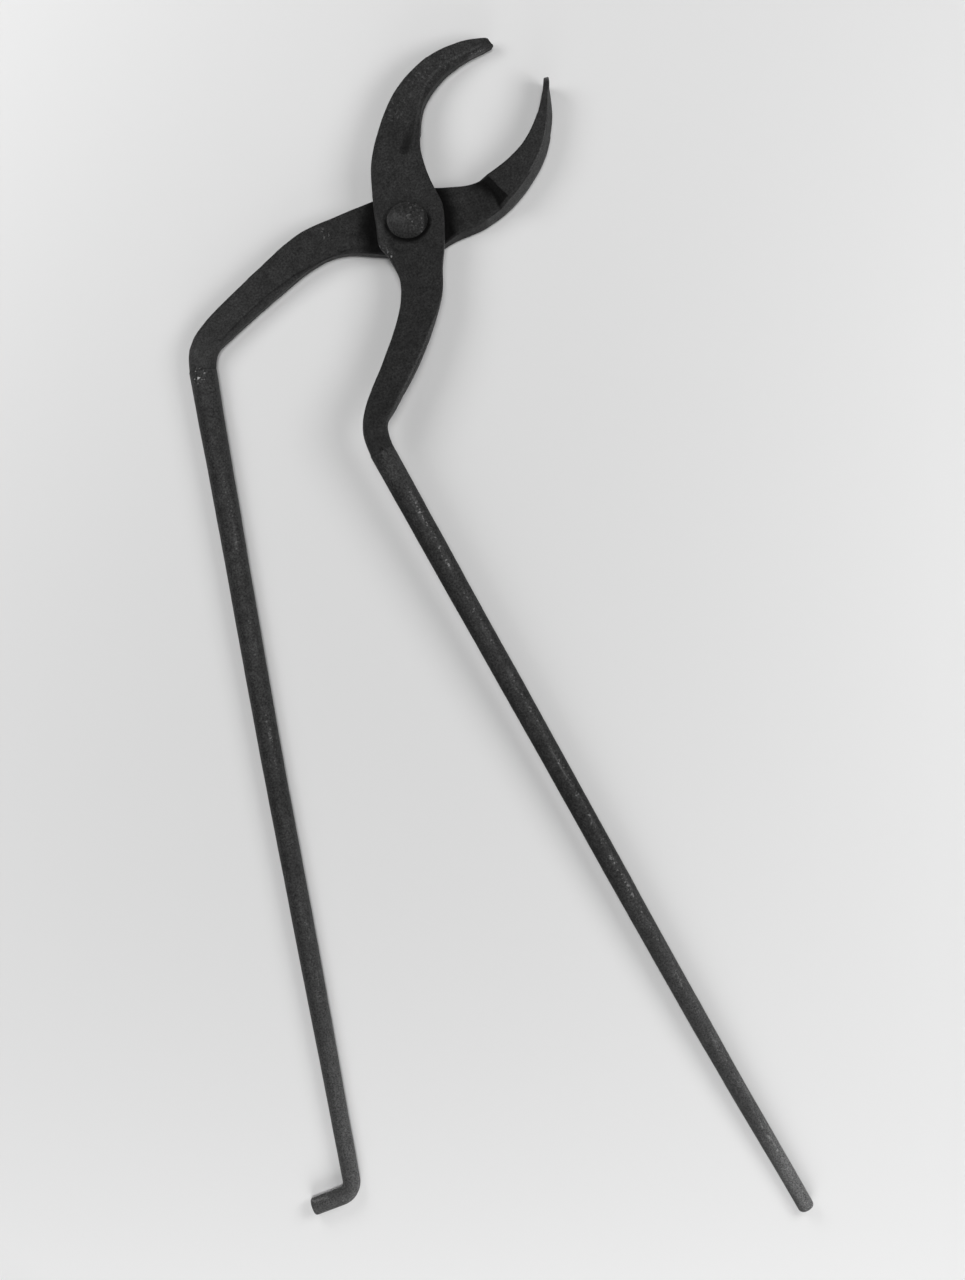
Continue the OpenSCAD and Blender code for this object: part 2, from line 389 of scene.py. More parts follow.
def weld_station(weld, r):
    """A round station, where the half meets its rein."""
    x, y, z = weld
    return ((x - r, y), (x + r, y), z - r, z + r, r, r, r)


UPPER = Bar([
    ((81.9, 62.4), (81.7, 60.0), LOWER_UNDER + 1, TIP_TOP - 1, EDGE, EDGE, EDGE),
    ((79.8, 65.5), (80.0, 59.2), LOWER_UNDER, TIP_TOP, EDGE, 1.6, EDGE),
    ((66.0, 69.4), (66.0, 59.7), LOWER_UNDER, TIP_TOP + 2.2, EDGE, EDGE, EDGE),
    ((48.4, 69.2), (51.2, 57.5), LOWER_UNDER, JAW_TOP - 2.6, EDGE, EDGE, EDGE),
    ((28.0, 62.4), (37.1, 50.2), LOWER_UNDER, JAW_TOP - 0.6, EDGE, EDGE, EDGE),
    ((11.8, 50.1), (28.4, 38.9), LOWER_UNDER, JAW_TOP + 0.8, EDGE, EDGE, EDGE),
    ((-0.9, 36.1), (23.0, 28.0), LOWER_UNDER + 4, UPPER_TOP - 1.2, EDGE, EDGE, EDGE),
    ((-9.1, 20.5), (20.1, 14.2), UPPER_UNDER, UPPER_TOP, EDGE, EDGE, EDGE),
    ((-15.3, 4.7), (19.2, -0.6), UPPER_UNDER, UPPER_TOP, 1.8, EDGE, EDGE),
    ((-16.3, -9.3), (12.7, -14.4), UPPER_UNDER, UPPER_TOP, 2.4, EDGE, EDGE),
    ((-17.8, -23.4), (4.9, -26.1), UPPER_UNDER, UPPER_TOP, 1.6, EDGE, EDGE),
    ((-26.3, -37.0), (-3.8, -40.0), UPPER_UNDER, UPPER_TOP + 0.5, EDGE, EDGE, EDGE),
    ((-43.3, -52.9), (-24.8, -59.8), UPPER_UNDER + 1.5, UPPER_TOP + 2, EDGE, EDGE, EDGE),
    ((-62.3, -68.5), (-49.4, -77.0), UPPER_UNDER + 4, UPPER_TOP + 5.4, 2.8, 2.8, 2.8),
    ((-70.8, -80.2), (-58.0, -83.0), UPPER_WELD[2] - 6.4, UPPER_WELD[2] + 6.0, 5.2, 5.2, 5.2),
    weld_station(UPPER_WELD, UPPER_R),
])

LOWER = Bar([
    ((79.1, 59.4), (82.1, 59.5), LOWER_UNDER + 0.5, JAW_TOP - 0.5, 0.8, 0.8, 0.8),
    ((77.3, 53.3), (82.0, 52.3), LOWER_UNDER, JAW_TOP, EDGE, EDGE, EDGE),
    ((71.7, 40.9), (80.3, 39.1), LOWER_UNDER, JAW_TOP, EDGE, EDGE, EDGE),
    ((61.8, 28.8), (72.9, 21.6), LOWER_UNDER, JAW_TOP, EDGE, EDGE, EDGE),
    ((48.5, 20.3), (57.9, 5.3), LOWER_UNDER, JAW_TOP, EDGE, EDGE, EDGE),
    ((35.5, 15.8), (40.6, -5.2), LOWER_UNDER, JAW_TOP, EDGE, EDGE, EDGE),
    ((20.8, 16.5), (22.1, -10.0), LOWER_UNDER, LOWER_TOP, EDGE, EDGE, EDGE),
    ((5.0, 18.6), (4.0, -15.5), LOWER_UNDER, LOWER_TOP, EDGE, EDGE, EDGE),
    ((-16.0, 16.0), (-15.5, -11.1), LOWER_UNDER, LOWER_TOP, EDGE, EDGE, EDGE),
    ((-36.0, 11.7), (-34.2, -7.3), LOWER_UNDER, LOWER_TOP, EDGE, EDGE, EDGE),
    ((-56.0, 6.2), (-51.2, -11.0), LOWER_UNDER, LOWER_TOP, EDGE, EDGE, EDGE),
    ((-80.5, -8.3), (-71.3, -21.8), LOWER_UNDER - 0.5, LOWER_TOP - 0.1, EDGE, EDGE, EDGE),
    ((-109.4, -27.9), (-97.0, -37.7), LOWER_UNDER - 1.4, LOWER_TOP + 0.3, 2.6, 2.6, 2.6),
    ((-119.6, -39.8), (-105.6, -44.2), LOWER_WELD[2] - 6.9, LOWER_WELD[2] + 6.5, 5.4, 5.4, 5.4),
    weld_station(LOWER_WELD, LOWER_R),
])


def tip_rings(bar):
    """Loops that round off the jaw's tip, from its flat end inwards to the first full loop."""
    at, inside = (bar.edge("right", s) + bar.edge("left", s) for s in (0.0, 0.3))
    out = (at - inside) / np.linalg.norm(at - inside)
    rings = []
    for k in range(CAP_STEPS, 0, -1):
        angle = CAP_ANGLE * k / CAP_STEPS
        rings.append(bar.ring(0.0, 0.0, inset=TIP_ROUND * (1 - math.cos(angle)),
                              shift=out * TIP_ROUND * math.sin(angle)))
    return rings


def tilt_to_weld(points, bar, s, weld, fall):
    """Leans the last loops over until they stand square to the falling rein."""
    f = smooth(bar.last - 1.0, bar.last, s)
    out = np.array(points)
    out[:, 1] -= (points[:, 2] - weld[2]) * math.tan(fall) * f
    return out


def step_curves(bar, foot, crest, low, high):
    """The two lines of a jaw's step, as (station on the right edge, on the left, bow)."""
    made = []
    for line in (foot, crest):
        line = np.array(line, float)
        ends = []
        for side, p in (("right", line[0]), ("left", line[-1])):
            fine = np.linspace(low, high, 400)
            gap = [np.linalg.norm(bar.edge(side, s) - p) for s in fine]
            ends.append(fine[int(np.argmin(gap))])
        a, b = bar.edge("right", ends[0]), bar.edge("left", ends[1])
        run = np.concatenate([[0], np.cumsum(np.linalg.norm(np.diff(line, axis=0), axis=1))])
        run /= run[-1]

        def bow(u, a=a, b=b, run=run, line=line):
            p = np.array([np.interp(u, run, line[:, 0]), np.interp(u, run, line[:, 1])])
            ease = min(1.0, 8 * u, 8 * (1 - u))
            return (p - (a + (b - a) * u)) * ease
        made.append((ends[0], ends[1], bow))
    return made


def arc_line(bar, r, low, high):
    """A circle about the rivet, from the bar's right edge to its left one."""
    count = 12
    ends = [bar.edge(side, bar.at_radius(side, r, low, high)) for side in ("right", "left")]
    a0, a1 = (math.atan2(p[1], p[0]) for p in ends)
    return [(r * math.cos(a0 + (a1 - a0) * k / count), r * math.sin(a0 + (a1 - a0) * k / count))
            for k in range(count + 1)]


# How far down the jaw's step its loops lie, closest together at the crest and the foot
STEP_ROWS = [0.0, 0.03, 0.07, 0.12, 0.18, 0.26, 0.36, 0.48, 0.6, 0.72, 0.82, 0.89, 0.94, 0.97]


def half_rings(bar, foot, crest, step_span, levels, deep, weld, fall):
    """All loops of a half. The step's lines run within step_span, two station positions; deep is
    "top" or "under", the face that the step is in, and levels the lap's and the jaw's there."""
    foot_line, crest_line = step_curves(bar, foot, crest, *step_span)
    start, end = step_span[0] - STEP_MARGIN, step_span[1] + STEP_MARGIN
    lap, jaw = levels
    which = ("under", "top").index(deep)

    def square(s):
        return s, s, lambda u: np.zeros(2)

    def between(line0, line1, f, level):
        """The loop a fraction f of the way from one line across the bar to another."""
        (right0, left0, bow0), (right1, left1, bow1) = line0, line1
        return bar.ring(right0 + (right1 - right0) * f, left0 + (left1 - left0) * f,
                        bow=lambda u: bow0(u) * (1 - f) + bow1(u) * f, **{deep: level})

    def spans(s0, s1):
        length = np.linalg.norm(bar.edge("right", s0) - bar.edge("right", s1))
        return max(4, int(length / PITCH))

    rings = tip_rings(bar)
    rings += [bar.ring(s, s) for s in bar.spacing(PITCH, 0.0, start)[:-1]]
    jaw_at_start = bar.levels(start)[which]
    count = spans(start, crest_line[0])
    for k in range(count):
        level = jaw_at_start + (jaw - jaw_at_start) * k / count
        rings.append(between(square(start), crest_line, k / count, level))
    for f in STEP_ROWS:
        # a rounded crest and a small fillet at the foot
        ease = f - 0.05 * math.sin(2 * math.pi * f) / (2 * math.pi)
        rings.append(between(crest_line, foot_line, f, jaw + (lap - jaw) * ease))
    count = spans(end, foot_line[0])
    rings += [between(foot_line, square(end), k / count, lap) for k in range(count)]
    for s in bar.spacing(PITCH, end, bar.last):
        level = lap if s < RIVET_STATION else bar.levels(s)[which]
        points, tags = bar.ring(s, s, **{deep: level})
        rings.append((tilt_to_weld(points, bar, s, weld, fall), tags))
    return rings


def forge_marks(verts):
    """How far hammering left each point off the true surface."""
    return (0.22 * fbm(verts, 24, 2, 1.0) + 0.10 * fbm(verts, 7.5, 2, 5.0)
            + 0.03 * fbm(verts, 2.2, 2, 9.0))


def tagged(rings):
    """The loops' points, and one array for each tag, with two values more for the ends' middles."""
    points = [r[0] for r in rings]
    tags = [t for r in rings for t in r[1]]
    face = np.array([t[2] for t in tags] + ["cap", "cap"])
    corner = np.array([t[3] for t in tags] + [0, 0], float)
    u = np.array([t[1] for t in tags] + [0.5, 0.5], float)
    station = np.array([t[0] for t in tags] + [0.0, 99.0], float)
    return points, face, corner, u, station


def head_outline(a):
    """Radius of the rivet's head at bearing a: it is a little narrower one way than the other."""
    wobble = noise.noise(Vector((math.cos(a) * 1.1, math.sin(a) * 1.1, 4.2)))
    return HEAD_R * (1.0 + 0.03 * wobble - 0.11 * math.sin(a + HEAD_TURN) ** 2)


def settle(verts, weld):
    """0 at a weld, rising to 1 a little way off, so that the two pieces there meet flush."""
    return smooth(1.0, 14.0, np.linalg.norm(verts - weld, axis=1) - UPPER_R)


# Lines on the upper half: the ridge along its jaw, the scaly lip and the rims of its boss, the
# dent, the bare patch inside the tip, the chipped stretches, and the shoulder's bright edge
RIDGE = [(24.0, 38.0), (26.8, 40.8), (29.7, 43.8), (36.8, 52.5), (40.6, 56.3), (47.4, 60.0),
         (57.6, 62.6), (70.1, 62.6), (80.0, 62.2)]
LIP = [(-17.6, -4.3), (-17.4, -8.0), (-16.2, -10.6)]
OUTER_RIM = [(-13.4, 8.2), (-15.8, -0.4), (-15.0, -7.6)]
INNER_RIM = [(-12.6, -3.0), (-12.9, -7.0), (-11.4, -10.6)]
DENT = (27.2, 43.6), (16.6, 33.4)
BARE_PATCH = (76.3, 59.6), (68.7, 59.3)
CHIPPED = [(59.0, 61.5), (52.5, 62.6), (23.0, 57.0), (21.0, 51.0)]
SHOULDER_EDGE = [(-11.0, -47.6), (-26.9, -60.2), (-43.2, -71.8), (-57.0, -81.6)]
SPECKS = [(51.7, 62.4), (53.4, 62.8), (59.0, 60.9), (33.5, 57.1), (23.4, 49.4), (22.9, 57.0),
          (20.1, 54.2)]


def last_loop(rings):
    """Numbers of the points in the loop at the weld."""
    loop = len(rings[0][0])
    return range(loop * (len(rings) - 1), loop * len(rings))


def build_upper_half():
    """The upper arm's forged half: a blunt jaw, its boss, shoulder and elbow."""
    foot = arc_line(UPPER, STEP_FOOT_R, 4.0, 7.0)
    crest = arc_line(UPPER, STEP_CREST_R, 3.5, 6.5)
    rings = half_rings(UPPER, foot, crest, (4.6, 6.1), (UPPER_UNDER, LOWER_UNDER), "under",
                       UPPER_WELD, UPPER_FALL)
    points, face, corner, _, station = tagged(rings)
    verts, faces = loft(points)
    xy = verts[:, :2]
    r = np.linalg.norm(xy, axis=1)
    # the jaw's top slopes down towards the gap from a ridge
    past = beyond(RIDGE, xy)
    reach = smooth(23, 34, xy[:, 0]) * (1 - smooth(74, 80, xy[:, 0]))
    reach *= station < RIVET_STATION
    top = np.array([UPPER.levels(min(s, UPPER.last))[1] for s in station])
    # the lip that was spread out of the boss's edge
    spread = np.exp(-((xy[:, 1] + 2.5) / 5.5) ** 2) * smooth(-6, -15, xy[:, 0])
    spread *= smooth(UPPER_UNDER - 0.5, UPPER_UNDER + 2, verts[:, 2])
    verts[:, 0] -= LIP_SPREAD * spread
    verts[:, 2] -= RIDGE_SLOPE * np.clip(past * reach, 0, 5) * smooth(top - 8, top, verts[:, 2])
    n = normals_of(verts, faces)
    d = forge_marks(verts) * settle(verts, UPPER_WELD)
    upward = smooth(0.3, 0.8, n[:, 2])
    # the dent a blow left on top of the jaw, widening and deepening towards its near end
    gap, t = along(*DENT, xy)
    dent = upward * (1 - smooth(0.3, 1.0, gap / (1.6 + 2.0 * t)))
    d -= DENT_DEPTH * dent * (0.6 + 0.4 * t)
    # the bar is pinched in a little round the rivet's head
    off = xy - HEAD_AT
    bearing = np.arctan2(off[:, 1], off[:, 0])
    rim_gap = np.linalg.norm(off, axis=1) - np.array([head_outline(a) for a in bearing])
    loose = smooth(-0.6, 0.2, -np.cos(bearing - TIGHT_BEARING))
    groove = upward * near(rim_gap, 0.4, 2.3) * (0.2 + 0.8 * loose)
    d -= GROOVE_DEPTH * groove
    # marks go inwards only where the half meets the one below, under it, and at the tip
    lapped = (face == "under") & (r < LAP_R)
    d = np.where(lapped | (n[:, 2] < -0.3), np.minimum(d, 0) - LAP_GAP, d)
    d = np.where(r > TIP_R, np.minimum(d, 0) - TIP_GAP, d)
    verts = verts + n * d[:, None]
    n = normals_of(verts, faces)
    scabs = smooth(0.25, 0.6, fbm(verts, 3.0, 3, 21.0))
    # painted shade in the dent, and painted shade with some dirt in the groove round the rivet's head
    soot_and_shade = 0.55 * dent * (0.45 + 0.55 * t) + 0.95 * groove
    # painted shade where the jaw's top slopes down beyond the ridge
    soot_and_shade += 0.12 * smooth(0.2, 1.0, past) * upward * reach
    # the boss and shoulder are made darker overall
    soot_and_shade += (0.13 * smooth(12, -22, xy[:, 1]) + 0.17 * smooth(36, 20, xy[:, 0])) * upward
    # painted shade: a dark line inside the boss's rounded rim
    soot_and_shade += 0.4 * upward * (1 - smooth(0.2, 1.2, near_line(INNER_RIM, xy)))
    wear_and_sheen = 0.01 * smooth(-5, 25, xy[:, 0]) * (xy[:, 1] > 15) * upward
    wear_and_sheen += 0.03 * smooth(30, 75, xy[:, 0]) * upward
    wear_and_sheen += 0.05 * corner * (n[:, 2] > 0.1)
    # painted highlight along the ridge
    wear_and_sheen += 0.10 * upward * (1 - smooth(0.2, 1.0, np.abs(past))) * reach
    # painted highlight on the boss's rounded rim
    wear_and_sheen += 0.05 * upward * (1 - smooth(1.0, 3.5, near_line(OUTER_RIM, xy)))
    # the shoulder's bright edge is partly worn and partly painted highlight
    wear_and_sheen += 0.22 * (1 - smooth(0.1, 1.0, near_line(SHOULDER_EDGE, xy))) * (n[:, 2] > 0.2)
    wear_and_sheen += 0.4 * np.max([near(np.hypot(xy[:, 0] - x, xy[:, 1] - y), 0, 1.0)
                          for x, y in SPECKS], axis=0) * upward * (0.3 + 0.7 * scabs)
    patch, _ = along(*BARE_PATCH, xy)
    wear_and_sheen += 0.45 * (1 - smooth(0.6, 2.0, patch)) * (verts[:, 2] > 5) * (0.4 + 0.6 * scabs)
    wear_and_sheen += 0.12 * scabs * (1 - smooth(1.0, 3.0, near_line(LIP, xy)))
    flecks = 0.5 * (1 - smooth(0.8, 2.2, near_line(LIP, xy))) + 0.4 * (patch < 1.6) * upward
    flecks += 0.06 * (1 - smooth(2.0, 8.0, near_line(CHIPPED, xy))) * upward
    masks = {"soot_and_shade": soot_and_shade, "wear_and_sheen": wear_and_sheen, "flecks": flecks}
    obj = mesh_object("upper_half_forged", verts, faces, HALF_OPENING, masks, FORGED,
                      last_loop(rings))
    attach(obj, "upper_arm")
    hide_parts("upper_half")


# Lines on the lower half: the bevel along its shoulder, the streak on its hook, the painted shadow
# that the upper boss casts on the lap on either side, and the bare edge beside the jaw's step
BEVEL = [(-18.0, -7.6), (-27.0, -5.6), (-33.4, -5.9), (-46.8, -9.0), (-61.3, -13.6), (-76.9, -21.4),
         (-91.5, -30.9), (-104.0, -39.6)]
HOOK_STREAK = [(-138.4, -473.5), (-127.5, -472.6)]
CHIPS = (-117.2, -54.5)  # where the scale has flaked off round the lower weld
BOSS_SHADOWS = [([(15.8, 15.5), (18.4, 4.3), (17.4, -9.3)], 9.5),
                ([(-14.9, 14.9), (-18.8, 4.4), (-19.4, -9.7)], 10.5)]
BARE_EDGE = [(29.0, -8.6), (45.5, -3.2)]


def build_lower_half():
    """The lower arm's forged half: a pointed jaw stepped down to the lap, shoulder and elbow."""
    foot = [(38.7, 16.3), (43.6, 11.3), (45.9, 5.4), (47.2, 0.0)]
    crest = [(43.3, 17.2), (48.0, 10.2), (52.5, 3.2)]
    rings = half_rings(LOWER, foot, crest, (3.9, 5.6), (LOWER_TOP, JAW_TOP), "top",
                       LOWER_WELD, LOWER_FALL)
    points, face, corner, u, station = tagged(rings)
    verts, faces = loft(points)
    xy = verts[:, :2]
    r = np.linalg.norm(xy, axis=1)
    # the jaw's outer wall leans in towards its top
    unique, back = np.unique(np.clip(station, 0, LOWER.last), return_inverse=True)
    across = np.array([LOWER.edge("left", s) - LOWER.edge("right", s) for s in unique])
    across = (across / np.linalg.norm(across, axis=1)[:, None])[back]
    heights = np.repeat([loop[:, 2].max() for loop in points], len(points[0]))
    top = np.append(heights, [JAW_TOP, LOWER_TOP])
    lean = LEAN * smooth(0.2, 1.6, station) * (1 - smooth(5.6, 6.6, station))
    lean *= np.clip((verts[:, 2] - (top - LEAN_DEPTH)) / LEAN_DEPTH, 0, 1) * smooth(0.5, 1.0, u)
    verts[:, :2] -= across * lean[:, None]
    # a bevel runs along the shoulder's inner top edge, from the neck to the elbow
    past = -beyond(BEVEL, xy)
    reach = (1 - smooth(-32, -21, xy[:, 0])) * smooth(-110, -98, xy[:, 0])
    reach *= station > RIVET_STATION
    drop = np.clip(past * reach, 0, 4) * smooth(LOWER_TOP - 6, LOWER_TOP, verts[:, 2])
    verts[:, 2] -= BEVEL_SLOPE * drop
    n = normals_of(verts, faces)
    d = forge_marks(verts) * settle(verts, LOWER_WELD)
    lapped = (n[:, 2] > 0.3) & (r < LAP_R) & (verts[:, 2] < UPPER_UNDER + 1)
    d = np.where(lapped | (n[:, 2] < -0.3), np.minimum(d, 0) - LAP_GAP, d)
    d = np.where(r > TIP_R, np.minimum(d, 0) - TIP_GAP, d)
    verts = verts + n * d[:, None]
    verts[:, 2] = np.maximum(verts[:, 2], 0.05)
    n = normals_of(verts, faces)
    up = smooth(0.2, 0.7, n[:, 2])
    lap = verts[:, 2] < LOWER_TOP + 0.6
    blur = 1.0 + 0.35 * fbm(verts, 6.0, 3, 71.0)
    soot_and_shade = np.zeros(len(verts))
    # painted shadow of the upper boss across the lap on either side
    for line, width in BOSS_SHADOWS:
        soot_and_shade += 0.80 * up * lap * (1 - smooth(0.5, width, near_line(line, xy) * blur))
    # painted shade on the slope of the jaw's step, darkest at its foot
    slope = (face == "top") & (xy[:, 0] > 30) & (verts[:, 2] < JAW_TOP - 0.3)
    slope &= (verts[:, 2] > LOWER_TOP + 0.2) & (station > 3)
    to_foot = near_line(foot, xy)
    soot_and_shade += (0.60 + 0.2 * (1 - smooth(0.2, 2.0, to_foot))) * slope
    # painted shadow spreading over the lap beyond the step's foot, and a dark painted crease along
    # the foot
    soot_and_shade += 0.55 * (1 - smooth(0.3, 6.0, to_foot * blur)) * lap * up * smooth(3, 12, xy[:, 1])
    soot_and_shade += 0.95 * (1 - smooth(0.2, 0.7, to_foot)) * lap * up * (1 - smooth(10, 13, xy[:, 1]))
    # the lap by the step, the elbow and the jaw nearest the rivet are made a little darker
    soot_and_shade += 0.16 * lap * up * smooth(14, 22, xy[:, 0])
    soot_and_shade += 0.18 * up * smooth(-86, -74, xy[:, 0])
    soot_and_shade += 0.14 * (1 - smooth(60, 72, xy[:, 0])) * (station < 5.2) * up
    # painted shade: a dark line along the bevel's edge
    soot_and_shade += 0.45 * (1 - smooth(0.05, 0.6, np.abs(past))) * reach * (n[:, 2] > 0.1)
    outer = (station < 5.2) & (face == "left")
    wear_and_sheen = 0.03 * smooth(40, 80, xy[:, 0]) * up
    wear_and_sheen += 0.35 * smooth(0.4, 0.0, station) * (verts[:, 2] > JAW_TOP - 3)
    wear_and_sheen += 0.05 * corner * (n[:, 2] > 0.1)
    wear_and_sheen += 0.05 * smooth(0.4, 1.2, past) * reach
    # painted light on the jaw's outer wall, and a painted highlight along its outward top edge near
    # the tip
    wear_and_sheen += 0.16 * outer + 0.25 * corner * (station < 3.5) * (n[:, 0] > 0.2) * (n[:, 2] > 0.1)
    flecks = (1 - smooth(1.0, 5.0, np.hypot(xy[:, 0] - CHIPS[0], xy[:, 1] - CHIPS[1]))) * up
    flecks += 0.2 * near(np.hypot(xy[:, 0] + 42, xy[:, 1] - 4), 0, 5) * up
    flecks += 0.25 * (1 - smooth(0.5, 2.0, near_line(BARE_EDGE, xy))) * up
    wear_and_sheen += 0.07 * near(np.hypot(xy[:, 0] + 118, xy[:, 1] + 44), 0, 14) * up
    masks = {"soot_and_shade": soot_and_shade, "wear_and_sheen": wear_and_sheen, "flecks": flecks}
    obj = mesh_object("lower_half_forged", verts, faces, -HALF_OPENING, masks, FORGED,
                      last_loop(rings))
    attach(obj, "lower_arm")
    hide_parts("lower_half")


# ---------------------------------------------------------------- the reins
REIN_SIDES = 48
REIN_PITCH = 1.6  # distance between loops along a rein
BEND_STEPS, HOOK_STEPS = 14, 11


def rein_mesh(path, radii, end_round):
    """A round bar along a path, with a rounded far end."""
    path = np.array(path, float)
    tangents = np.gradient(path, axis=0)
    tangents /= np.linalg.norm(tangents, axis=1)[:, None]
    up = np.array([0.0, 0.0, 1.0])
    around = [2 * math.pi * k / REIN_SIDES for k in range(REIN_SIDES)]

    def ring(centre, tangent, radius):
        side = np.cross(tangent, up)
        side /= np.linalg.norm(side)
        over = np.cross(side, tangent)
        return np.array([centre + radius * (math.cos(a) * side + math.sin(a) * over)
                         for a in around])

    rings = [ring(p, t, r) for p, t, r in zip(path, tangents, radii)]
    end, t, r = path[-1], tangents[-1], radii[-1]
    for k in range(1, CAP_STEPS + 1):
        a = CAP_ANGLE * k / CAP_STEPS
        rings.append(ring(end + t * end_round * math.sin(a), t,
                          r - end_round * (1 - math.cos(a))))
    return loft(rings)


def build_rein(name, node, weld, fall, run, profile, sway, rubbed_and_highlit, hook, angle, body, end_round):
    """A rein from its weld. profile gives its radius, sway how far it strays to the left, and rubbed
    the stretches along its crown that are worn bright and carry a painted highlight, as (from, to,
    how much). hook says whether its far end is bent round."""
    down = np.array([0.0, -math.cos(fall), -math.sin(fall)])
    side = np.array([-1.0, 0.0, 0.0])
    d = np.linspace(0, run, int(run / REIN_PITCH))
    bow = np.interp(d, [p[0] for p in sway], [p[1] for p in sway])
    for _ in range(2):
        bow = np.convolve(np.pad(bow, 8, mode="edge"), np.ones(17) / 17, mode="valid")
    bow *= smooth(0, 30, d)
    path = [weld + down * x + side * b for x, b in zip(d, bow)]
    radii = list(np.interp(d, [p[0] for p in profile], [p[1] for p in profile]))
    if hook:
        centre = path[-1] + side * BEND_R
        for k in range(1, BEND_STEPS + 1):
            a = BEND_ANGLE * k / BEND_STEPS
            path.append(centre - side * BEND_R * math.cos(a) + down * BEND_R * math.sin(a))
        heading = side * math.sin(BEND_ANGLE) + down * math.cos(BEND_ANGLE)
        for _ in range(HOOK_STEPS):
            path.append(path[-1] + heading * (HOOK_LENGTH - end_round) / HOOK_STEPS)
        radii += [radii[-1]] * (BEND_STEPS + HOOK_STEPS)
    verts, faces = rein_mesh(path, radii, end_round)
    n = normals_of(verts, faces)
    wave = 0.10 * fbm(verts, 30, 2, 31.0) + 0.05 * fbm(verts, 8, 2, 35.0)
    wave *= settle(verts, weld)
    verts = verts + n * wave[:, None]
    verts[:, 2] = np.maximum(verts[:, 2], 0.03)
    dist = (verts - weld) @ down
    n = normals_of(verts, faces)
    flank = np.arctan2(n[:, 0], n[:, 2])
    streak = smooth(0.1, 0.5, fbm(verts * np.array([1.0, 0.15, 1.0]), 1.4, 3, 41.0))
    bare = np.max([smooth(a - 8, a, dist) * (1 - smooth(b, b + 10, dist)) * amount
                   for a, b, amount in rubbed_and_highlit], axis=0)
    # along the crown: worn bare stretches that also carry a painted highlight
    wear_and_sheen = (0.04 + 0.34 * streak) * near(flank, 0.34, 0.36) * bare
    # painted light: the rein grows paler towards its far end, brightest on its right flank
    wear_and_sheen += (0.12 + 0.10 * streak) * smooth(200, 430, dist)
    painted_end_light = (0.42 + 0.25 * streak) * smooth(190, 420, dist) * smooth(-0.1, 0.8, flank)
    wear_and_sheen += painted_end_light * (0.55 if hook else 1.0)
    if hook:
        # the hook's sides and its far end are made paler, the far end as painted light
        wear_and_sheen += 0.06 * smooth(0.5, 1.1, np.abs(flank)) + 0.12 * smooth(320, 420, dist)
        wear_and_sheen += 0.36 * (1 - smooth(0.2, 1.0, near_line(HOOK_STREAK, verts[:, :2]))) * (n[:, 2] > 0)
    else:
        # painted light over the upper rein's far end
        wear_and_sheen += 0.80 * smooth(375, 430, dist) * smooth(-1.3, 0.5, flank)
        wear_and_sheen += 0.10 * near(flank, 0.8, 0.5) * (1 - smooth(16, 32, dist))
    # painted shade on the rein's left flank and crown near the weld
    soot_and_shade = 0.45 * near(flank, -1.0, 0.9) + 0.22 * near(flank, -0.05, 0.5)
    soot_and_shade *= (1 - smooth(200, 340, dist)) * (not hook) * smooth(8, 30, dist)
    chips = np.hypot(verts[:, 0] - CHIPS[0], verts[:, 1] - CHIPS[1])
    flecks = (1 - smooth(1.0, 5.0, chips)) * (n[:, 2] > 0.2)
    flecks += 0.28 * near(flank, 0.34, 0.36) * bare
    masks = {"soot_and_shade": soot_and_shade, "wear_and_sheen": wear_and_sheen, "flecks": flecks}
    obj = mesh_object(name, verts, faces, angle, masks, REIN, range(REIN_SIDES))
    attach(obj, body)
    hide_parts(node)


HEAD_SIDES, HEAD_ROWS, SHANK_SIDES = 96, 26, 64
# The head's hammered facets: bearing in degrees, slope, and drop below the crown at the axis
FACETS = [(20, 0.36, 0.15), (75, 0.36, 0.3), (130, 0.33, 0.15), (185, 0.33, 0.3), (235, 0.36, 0.0),
          (290, 0.34, 0.1), (335, 0.42, 0.35)]
# The shank and the tail, as (radius, height) from the top down
SHANK = [(5.4, UPPER_TOP - 0.5), (5.42, TAIL_T + 0.1), (8.3, TAIL_T), (8.45, TAIL_T - 0.4),
         (8.4, 0.5), (8.1, 0.15), (7.6, 0.03), (4.0, 0.02), (0.4, 0.02)]
# Places on the head, from its middle: a bright ray, partly worn bare and partly painted highlight, a
# band of painted highlight, and single bare flecks
RAY = (1.3, 0.6), (1.6, -5.4)
HIGHLIGHT_BAND = (-8.0, 4.5), (-1.0, 1.6)
HEAD_FLECKS = (7.0, 4.2), (6.9, 1.8), (6.8, -2.6), (2.4, 1.2)


